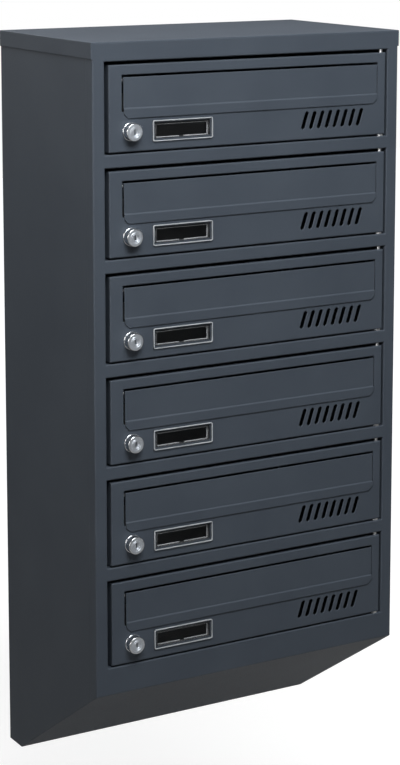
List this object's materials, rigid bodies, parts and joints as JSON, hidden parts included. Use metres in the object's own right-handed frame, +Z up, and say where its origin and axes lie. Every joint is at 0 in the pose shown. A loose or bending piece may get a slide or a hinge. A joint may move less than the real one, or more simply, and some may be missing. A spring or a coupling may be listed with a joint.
{
  "type": "indoor mailbox unit",
  "caption": "Wall-hung sheet-steel mailbox block: a column of hinged doors, each with a mail flap, name window, vents and cam lock, above a slanted bottom.",
  "frame": {"origin": "centre of the four wall holes, on the wall face of the back panel", "axes": "+X right, +Y back to the wall, +Z up"},
  "size_m": [0.3826, 0.229, 0.82],
  "materials": {
    "powder_coat": "satin anthracite powder coat with a fine texture",
    "pin_steel": "bright drawn steel",
    "lock_nickel": "polished nickel plating",
    "cam_zinc": "zinc plating",
    "clear_plastic": "clear moulded plastic"
  },
  "bodies": {
    "cabinet": {"front_frame": "powder_coat", "left_side_panel": "powder_coat", "right_side_panel": "powder_coat", "roof_panel": "powder_coat", "back_panel": "powder_coat", "bottom_panel": "powder_coat", "shelf_1": "powder_coat", "shelf_2": "powder_coat", "shelf_3": "powder_coat", "shelf_4": "powder_coat", "shelf_5": "powder_coat", "floor_panel": "powder_coat", "hinge_pins": "pin_steel"},
    "door_leaf_1": {"door_1": "powder_coat", "flap_rod_1": "pin_steel", "name_window_1": "clear_plastic", "lock_housing_1": "lock_nickel"},
    "flap_1": {"mail_flap_1": "powder_coat"},
    "lock_1": {"lock_plug_1": "lock_nickel", "lock_cam_1": "cam_zinc"},
    "door_leaf_2": {"door_2": "powder_coat", "flap_rod_2": "pin_steel", "name_window_2": "clear_plastic", "lock_housing_2": "lock_nickel"},
    "flap_2": {"mail_flap_2": "powder_coat"},
    "lock_2": {"lock_plug_2": "lock_nickel", "lock_cam_2": "cam_zinc"},
    "door_leaf_3": {"door_3": "powder_coat", "flap_rod_3": "pin_steel", "name_window_3": "clear_plastic", "lock_housing_3": "lock_nickel"},
    "flap_3": {"mail_flap_3": "powder_coat"},
    "lock_3": {"lock_plug_3": "lock_nickel", "lock_cam_3": "cam_zinc"},
    "door_leaf_4": {"door_4": "powder_coat", "flap_rod_4": "pin_steel", "name_window_4": "clear_plastic", "lock_housing_4": "lock_nickel"},
    "flap_4": {"mail_flap_4": "powder_coat"},
    "lock_4": {"lock_plug_4": "lock_nickel", "lock_cam_4": "cam_zinc"},
    "door_leaf_5": {"door_5": "powder_coat", "flap_rod_5": "pin_steel", "name_window_5": "clear_plastic", "lock_housing_5": "lock_nickel"},
    "flap_5": {"mail_flap_5": "powder_coat"},
    "lock_5": {"lock_plug_5": "lock_nickel", "lock_cam_5": "cam_zinc"},
    "door_leaf_6": {"door_6": "powder_coat", "flap_rod_6": "pin_steel", "name_window_6": "clear_plastic", "lock_housing_6": "lock_nickel"},
    "flap_6": {"mail_flap_6": "powder_coat"},
    "lock_6": {"lock_plug_6": "lock_nickel", "lock_cam_6": "cam_zinc"}
  },
  "joints": [
    {"name": "door_1_hinge", "type": "hinge", "parent": "cabinet", "child": "door_leaf_1", "pos_m": [0.1693, -0.216, 0.281], "axis": [0, 0, 1], "range_deg": [0, 95]},
    {"name": "flap_1_hinge", "type": "hinge", "parent": "door_leaf_1", "child": "flap_1", "pos_m": [0.0034, -0.216, 0.3098], "axis": [-1, 0, 0], "range_deg": [0, 80]},
    {"name": "lock_1_turn", "type": "hinge", "parent": "door_leaf_1", "child": "lock_1", "pos_m": [-0.1456, -0.22, 0.2565], "axis": [0, -1, 0], "range_deg": [0, 90]},
    {"name": "door_2_hinge", "type": "hinge", "parent": "cabinet", "child": "door_leaf_2", "pos_m": [0.1693, -0.216, 0.171], "axis": [0, 0, 1], "range_deg": [0, 95]},
    {"name": "flap_2_hinge", "type": "hinge", "parent": "door_leaf_2", "child": "flap_2", "pos_m": [0.0034, -0.216, 0.1998], "axis": [-1, 0, 0], "range_deg": [0, 80]},
    {"name": "lock_2_turn", "type": "hinge", "parent": "door_leaf_2", "child": "lock_2", "pos_m": [-0.1456, -0.22, 0.1465], "axis": [0, -1, 0], "range_deg": [0, 90]},
    {"name": "door_3_hinge", "type": "hinge", "parent": "cabinet", "child": "door_leaf_3", "pos_m": [0.1693, -0.216, 0.061], "axis": [0, 0, 1], "range_deg": [0, 95]},
    {"name": "flap_3_hinge", "type": "hinge", "parent": "door_leaf_3", "child": "flap_3", "pos_m": [0.0034, -0.216, 0.0898], "axis": [-1, 0, 0], "range_deg": [0, 80]},
    {"name": "lock_3_turn", "type": "hinge", "parent": "door_leaf_3", "child": "lock_3", "pos_m": [-0.1456, -0.22, 0.0365], "axis": [0, -1, 0], "range_deg": [0, 90]},
    {"name": "door_4_hinge", "type": "hinge", "parent": "cabinet", "child": "door_leaf_4", "pos_m": [0.1693, -0.216, -0.049], "axis": [0, 0, 1], "range_deg": [0, 95]},
    {"name": "flap_4_hinge", "type": "hinge", "parent": "door_leaf_4", "child": "flap_4", "pos_m": [0.0034, -0.216, -0.0202], "axis": [-1, 0, 0], "range_deg": [0, 80]},
    {"name": "lock_4_turn", "type": "hinge", "parent": "door_leaf_4", "child": "lock_4", "pos_m": [-0.1456, -0.22, -0.0735], "axis": [0, -1, 0], "range_deg": [0, 90]},
    {"name": "door_5_hinge", "type": "hinge", "parent": "cabinet", "child": "door_leaf_5", "pos_m": [0.1693, -0.216, -0.159], "axis": [0, 0, 1], "range_deg": [0, 95]},
    {"name": "flap_5_hinge", "type": "hinge", "parent": "door_leaf_5", "child": "flap_5", "pos_m": [0.0034, -0.216, -0.1302], "axis": [-1, 0, 0], "range_deg": [0, 80]},
    {"name": "lock_5_turn", "type": "hinge", "parent": "door_leaf_5", "child": "lock_5", "pos_m": [-0.1456, -0.22, -0.1835], "axis": [0, -1, 0], "range_deg": [0, 90]},
    {"name": "door_6_hinge", "type": "hinge", "parent": "cabinet", "child": "door_leaf_6", "pos_m": [0.1693, -0.216, -0.269], "axis": [0, 0, 1], "range_deg": [0, 95]},
    {"name": "flap_6_hinge", "type": "hinge", "parent": "door_leaf_6", "child": "flap_6", "pos_m": [0.0034, -0.216, -0.2402], "axis": [-1, 0, 0], "range_deg": [0, 80]},
    {"name": "lock_6_turn", "type": "hinge", "parent": "door_leaf_6", "child": "lock_6", "pos_m": [-0.1456, -0.22, -0.2935], "axis": [0, -1, 0], "range_deg": [0, 90]}
  ]
}
